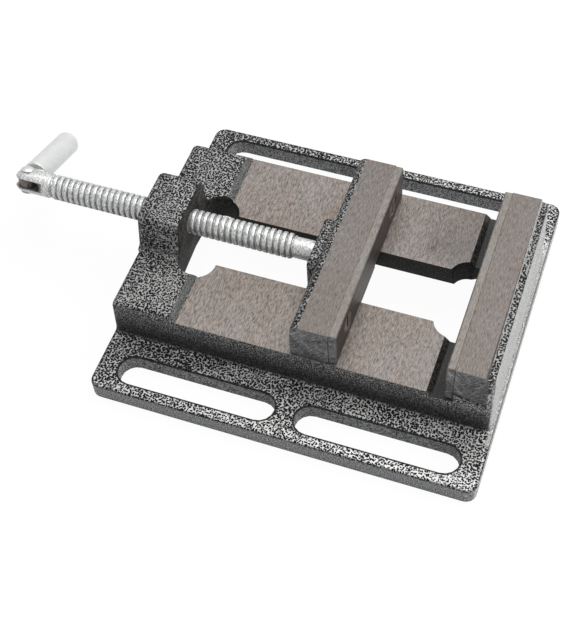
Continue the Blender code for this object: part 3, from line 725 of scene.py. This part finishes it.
class ViseFinish(bpy.types.PropertyGroup):
    """Colours of the finishes and the size of the enamel's spots."""

    enamel_dark: FloatVectorProperty(
        name="Enamel spots", description="Colour in the enamel's spots", subtype="COLOR",
        default=(0.008, 0.008, 0.008), min=0.0, max=1.0)
    enamel_silver: FloatVectorProperty(
        name="Enamel net", description="Colour of the silver net between the spots", subtype="COLOR",
        default=(0.48, 0.48, 0.475), min=0.0, max=1.0)
    enamel_edge_dark: FloatVectorProperty(
        name="Edge grain dark", description="Darker grain on the flange's thin sides", subtype="COLOR",
        default=(0.040, 0.041, 0.043), min=0.0, max=1.0)
    enamel_edge_light: FloatVectorProperty(
        name="Edge grain light", description="Lighter grain on the flange's thin sides", subtype="COLOR",
        default=(0.36, 0.365, 0.37), min=0.0, max=1.0)
    hammer_size: FloatProperty(
        name="Spot spacing", description="Distance between the enamel's spots", subtype="DISTANCE",
        unit="LENGTH", default=0.00100, min=0.0003, max=0.01)
    ground_iron: FloatVectorProperty(
        name="Ground iron", description="Colour of the ground ways", subtype="COLOR",
        default=(0.170, 0.150, 0.138), min=0.0, max=1.0)
    jaw_iron: FloatVectorProperty(
        name="Jaw tops", description="Colour of the ground tops of both jaws", subtype="COLOR",
        default=(0.114, 0.100, 0.093), min=0.0, max=1.0)
    ground_steel: FloatVectorProperty(
        name="Ground steel", description="Colour of the jaw plates", subtype="COLOR",
        default=(0.142, 0.131, 0.122), min=0.0, max=1.0)
    sawn_dark: FloatVectorProperty(
        name="Sawn iron dark", description="Darker tone of the sawn end faces", subtype="COLOR",
        default=(0.045, 0.046, 0.048), min=0.0, max=1.0)
    sawn_light: FloatVectorProperty(
        name="Sawn iron light", description="Colour of the scratches on the end faces", subtype="COLOR",
        default=(0.42, 0.42, 0.42), min=0.0, max=1.0)
    zinc: FloatVectorProperty(
        name="Zinc", description="Colour of the zinc plating", subtype="COLOR",
        default=(0.60, 0.61, 0.602), min=0.0, max=1.0)


class ViseThread(bpy.types.PropertyGroup):
    """Sizes of the leadscrew's thread."""

    pitch: FloatProperty(
        name="Pitch", description="Distance between neighbouring threads", subtype="DISTANCE",
        unit="LENGTH", default=0.003, min=0.001, max=0.01)
    thread_diameter: FloatProperty(
        name="Major diameter", description="Diameter over the thread's crests", subtype="DISTANCE",
        unit="LENGTH", default=0.012, min=0.004, max=0.04)
    thread_depth: FloatProperty(
        name="Depth", description="Height of the thread above its root", subtype="DISTANCE",
        unit="LENGTH", default=0.0013, min=0.0002, max=0.005)
    steps: IntProperty(
        name="Steps a turn", description="Mesh steps round each turn of the thread",
        default=44, min=12, max=96)


class ViseStudio(bpy.types.PropertyGroup):
    """Camera and light of the studio."""

    azimuth: FloatProperty(
        name="Azimuth", description="Camera's bearing, 0 in front", subtype="ANGLE",
        unit="ROTATION", default=math.radians(23.327))
    elevation: FloatProperty(
        name="Elevation", description="Camera's height above the horizon", subtype="ANGLE",
        unit="ROTATION", default=math.radians(54.948))
    roll: FloatProperty(
        name="Roll", description="Camera's turn about its line of sight", subtype="ANGLE",
        unit="ROTATION", default=math.radians(-4.667))
    station: FloatVectorProperty(
        name="Camera place", description="Where the camera stands", subtype="TRANSLATION",
        unit="LENGTH", default=(LEFT + 0.212215, -0.340747, 0.506626))
    lens: FloatProperty(
        name="Focal length", description="Focal length for the long side of the picture, in millimetres",
        default=73.495, min=10.0, max=300.0)
    key_power: FloatProperty(
        name="Key light", description="Power of the large light overhead", subtype="POWER",
        unit="POWER", default=9.0, min=0.0, max=500.0)
    fill_power: FloatProperty(
        name="Fill light", description="Power of the light on the right", subtype="POWER",
        unit="POWER", default=3.5, min=0.0, max=500.0)
    sky: FloatProperty(
        name="Room light", description="Strength of the even light from all round",
        default=0.5, min=0.0, max=3.0)


class VISE_OT_base_casting(bpy.types.Operator):
    """Dress the base casting in enamel, ground ways and sawn ends"""

    bl_idname = "vise.base_casting"
    bl_label = "Base Casting"

    def execute(self, context):
        finish = context.scene.vise_finish
        piece = copied("base_casting", "base_casting_enamelled")
        seat_on_plate(piece, "fixed_jaw_plate", 1)
        materials = [
            made("spotted_enamel", enamel, finish),
            made("ground_ways", way_iron, finish),
            made("ground_jaw_top", jaw_top_iron, finish),
            made("sawn_iron", sawn_iron, finish),
            made("smooth_enamel_and_shade", smooth_enamel_and_shade, finish),
            made("machined_foot", foot_iron, finish),
        ]
        paint_faces(piece, materials, base_face, (1, 2, 3, 5))
        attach(piece, "base")
        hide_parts("base_casting")
        return {"FINISHED"}


class VISE_OT_moving_jaw(bpy.types.Operator):
    """Dress the moving jaw's casting: ground top, sawn ends, enamelled back and boss"""

    bl_idname = "vise.moving_jaw"
    bl_label = "Moving Jaw"

    def execute(self, context):
        finish = context.scene.vise_finish
        piece = copied("moving_jaw_casting", "moving_jaw_casting_enamelled")
        seat_on_plate(piece, "moving_jaw_plate", -1)
        materials = [
            made("spotted_enamel", enamel, finish),
            made("ground_jaw_top", jaw_top_iron, finish),
            made("sawn_iron", sawn_iron, finish),
            made("smooth_enamel_and_shade", smooth_enamel_and_shade, finish),
        ]
        paint_faces(piece, materials, jaw_face, (1, 2))
        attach(piece, "moving_jaw")
        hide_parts("moving_jaw_casting")
        return {"FINISHED"}


class VISE_OT_jaw_plates(bpy.types.Operator):
    """Finish both jaw plates and the countersunk screws that hold them"""

    bl_idname = "vise.jaw_plates"
    bl_label = "Jaw Plates"

    def execute(self, context):
        finish = context.scene.vise_finish
        plate = made("ground_plate", jaw_steel, finish)
        for node in ("fixed_jaw_plate", "moving_jaw_plate"):
            dress_node(node, plate)
            for side in ("front", "rear"):
                dress_node(f"{node}_screw_{side}", made("screw_steel", screw_steel, finish))
        return {"FINISHED"}


class VISE_OT_leadscrew(bpy.types.Operator):
    """Cut the thread on the leadscrew and plate it in zinc, with painted shade in the thread and grease in
    the fork's slot
    """

    bl_idname = "vise.leadscrew"
    bl_label = "Leadscrew"

    def execute(self, context):
        finish = context.scene.vise_finish
        settings = context.scene.vise_thread
        core = settings.thread_diameter / 2 - settings.thread_depth - 0.08 * MM
        blank = copied("leadscrew", "leadscrew_blank")
        low, high = (LEFT + place * MM for place in THINNED_ENDS)
        for vertex in blank.data.vertices:
            arm = Vector((0.0, vertex.co.y, vertex.co.z - SCREW_AXIS_Z))
            if low < vertex.co.x < high and arm.length > core:
                arm *= core / arm.length
                vertex.co.y = arm.y
                vertex.co.z = arm.z + SCREW_AXIS_Z
        thread = thread_mesh(settings)
        thread.parent = blank
        material = made("zinc_thread", zinc, finish, "zinc_thread", 0.92, thread_dirt_and_shade)
        blank.data.materials.append(material)
        thread.data.materials.append(material)
        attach(blank, "leadscrew")
        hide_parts("leadscrew")
        return {"FINISHED"}


class VISE_OT_handle(bpy.types.Operator):
    """Plate the folding handle and the rivet that it swings on"""

    bl_idname = "vise.handle"
    bl_label = "Handle"

    def execute(self, context):
        finish = context.scene.vise_finish
        bar = made("zinc_handle", zinc, finish, "zinc_handle", 1.12, tang_grease_and_shade)
        plated = made("zinc_plate", zinc, finish)
        for node, body, material in (("handle", "handle", bar), ("handle_rivet", "leadscrew", plated)):
            piece = copied(node, node + "_plated", 40)
            piece.data.materials.append(material)
            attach(piece, body)
            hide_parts(node)
        return {"FINISHED"}


class VISE_OT_keeper(bpy.types.Operator):
    """Finish the keeper under the moving jaw, its bolts and washers, and the screw's pins"""

    bl_idname = "vise.keeper"
    bl_label = "Keeper and Pins"

    def execute(self, context):
        finish = context.scene.vise_finish
        steel = made("oiled_steel", oiled_steel, finish)
        plated = made("zinc_plate", zinc, finish)
        dress_node("keeper_plate", steel)
        for side in ("front", "rear"):
            dress_node(f"screw_retaining_pin_{side}", steel)
        for side in ("left", "right"):
            dress_node(f"keeper_bolt_{side}", plated)
            dress_node(f"keeper_spring_washer_{side}", plated)
        return {"FINISHED"}


class VISE_OT_stage(bpy.types.Operator):
    """Set up the pale floor, the soft lights and the camera"""

    bl_idname = "vise.stage"
    bl_label = "Studio"

    def execute(self, context):
        studio = context.scene.vise_studio
        self.make_floor()
        self.make_world(studio)
        self.make_lights(studio)
        self.make_camera(context, studio)
        context.scene.view_settings.view_transform = "Standard"
        return {"FINISHED"}

    @staticmethod
    def shown_to_camera(start):
        """1 for rays that show the background: from the camera, off gloss or through glass."""
        path = start.node("ShaderNodeLightPath")
        outputs = path.socket.node.outputs
        seen = Wire(start.tree, outputs["Is Camera Ray"])
        seen = seen.larger(Wire(start.tree, outputs["Is Glossy Ray"]))
        return seen.larger(Wire(start.tree, outputs["Is Transmission Ray"]))

    def make_floor(self):
        mesh = bpy.data.meshes.new("floor")
        reach = 3.0
        level = FOOT - 0.2 * MM
        signs = ((-1, -1), (1, -1), (1, 1), (-1, 1))
        corners = [(across * reach, deep * reach, level) for across, deep in signs]
        mesh.from_pydata(corners, [], [(0, 1, 2, 3)])
        floor = bpy.data.objects.new("floor", mesh)
        bpy.context.scene.collection.objects.link(floor)
        material = bpy.data.materials.new("pale_floor")
        material.use_nodes = True
        tree = material.node_tree
        tree.nodes.clear()
        start = Wire(tree)
        matt = start.node("ShaderNodeBsdfDiffuse", None, {"Color": (0.86, 0.86, 0.86, 1.0)})
        white = start.node("ShaderNodeEmission", None, {"Color": WHITE, "Strength": 1.0})
        seen = self.shown_to_camera(start)
        mixed = start.node("ShaderNodeMixShader", None, {0: seen * 0.96, 1: matt, 2: white})
        start.node("ShaderNodeOutputMaterial", None, {"Surface": mixed})
        mesh.materials.append(material)

    def make_world(self, studio):
        world = bpy.data.worlds.new("studio")
        bpy.context.scene.world = world
        world.use_nodes = True
        tree = world.node_tree
        tree.nodes.clear()
        start = Wire(tree)
        light = start.node("ShaderNodeBackground", None, {"Color": WHITE, "Strength": studio.sky})
        white = start.node("ShaderNodeBackground", None, {"Color": WHITE, "Strength": 1.0})
        seen = self.shown_to_camera(start)
        mixed = start.node("ShaderNodeMixShader", None, {0: seen, 1: light, 2: white})
        start.node("ShaderNodeOutputWorld", None, {"Surface": mixed})

    @staticmethod
    def make_lights(studio):
        lamps = (
            ("key_light", studio.key_power, 0.9, (0.10, 0.35, 0.95)),
            ("fill_light", studio.fill_power, 0.6, (0.80, 0.05, 0.40)),
        )
        for name, power, size, place in lamps:
            data = bpy.data.lights.new(name, "AREA")
            data.energy = power
            data.shape = "DISK"
            data.size = size
            lamp = bpy.data.objects.new(name, data)
            lamp.location = place
            lamp.rotation_mode = "QUATERNION"
            lamp.rotation_quaternion = (-Vector(place)).to_track_quat("-Z", "Y")
            bpy.context.scene.collection.objects.link(lamp)

    @staticmethod
    def make_camera(context, studio):
        back = Vector((
            math.sin(studio.azimuth) * math.cos(studio.elevation),
            -math.cos(studio.azimuth) * math.cos(studio.elevation),
            math.sin(studio.elevation),
        ))
        level = (-back).cross(Vector((0.0, 0.0, 1.0))).normalized()
        up = level.cross(-back)
        right = level * math.cos(studio.roll) + up * math.sin(studio.roll)
        upward = up * math.cos(studio.roll) - level * math.sin(studio.roll)
        data = bpy.data.cameras.new("camera")
        data.lens = studio.lens
        data.sensor_width = 36.0
        data.clip_start = 0.01
        data.clip_end = 50.0
        camera = bpy.data.objects.new("camera", data)
        axes = Matrix((right, upward, back)).transposed().to_4x4()
        camera.matrix_world = Matrix.Translation(Vector(studio.station)) @ axes
        context.scene.collection.objects.link(camera)
        context.scene.camera = camera


class VISE_PT_panel(bpy.types.Panel):
    """The vise's finishes and the buttons that make each piece"""

    bl_idname = "VISE_PT_panel"
    bl_label = "Drill Press Vise"
    bl_space_type = "VIEW_3D"
    bl_region_type = "UI"
    bl_category = "Vise"

    def draw(self, context):
        layout = self.layout
        for group in (context.scene.vise_finish, context.scene.vise_thread, context.scene.vise_studio):
            box = layout.box()
            for name in group.__annotations__:
                box.prop(group, name)
        column = layout.column(align=True)
        for operator in OPERATORS:
            column.operator(operator.bl_idname)


GROUPS = (ViseFinish, ViseThread, ViseStudio)
OPERATORS = (
    VISE_OT_base_casting,
    VISE_OT_moving_jaw,
    VISE_OT_jaw_plates,
    VISE_OT_leadscrew,
    VISE_OT_handle,
    VISE_OT_keeper,
    VISE_OT_stage,
)


def register():
    for item in (*GROUPS, *OPERATORS, VISE_PT_panel):
        bpy.utils.register_class(item)
    bpy.types.Scene.vise_finish = PointerProperty(type=ViseFinish)
    bpy.types.Scene.vise_thread = PointerProperty(type=ViseThread)
    bpy.types.Scene.vise_studio = PointerProperty(type=ViseStudio)


def unregister():
    for name in ("vise_finish", "vise_thread", "vise_studio"):
        delattr(bpy.types.Scene, name)
    for item in reversed((*GROUPS, *OPERATORS, VISE_PT_panel)):
        bpy.utils.unregister_class(item)


def main():
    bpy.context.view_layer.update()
    register()
    bpy.ops.vise.base_casting()
    bpy.ops.vise.moving_jaw()
    bpy.ops.vise.jaw_plates()
    bpy.ops.vise.leadscrew()
    bpy.ops.vise.handle()
    bpy.ops.vise.keeper()
    bpy.ops.vise.stage()


if __name__ == "__main__":
    main()
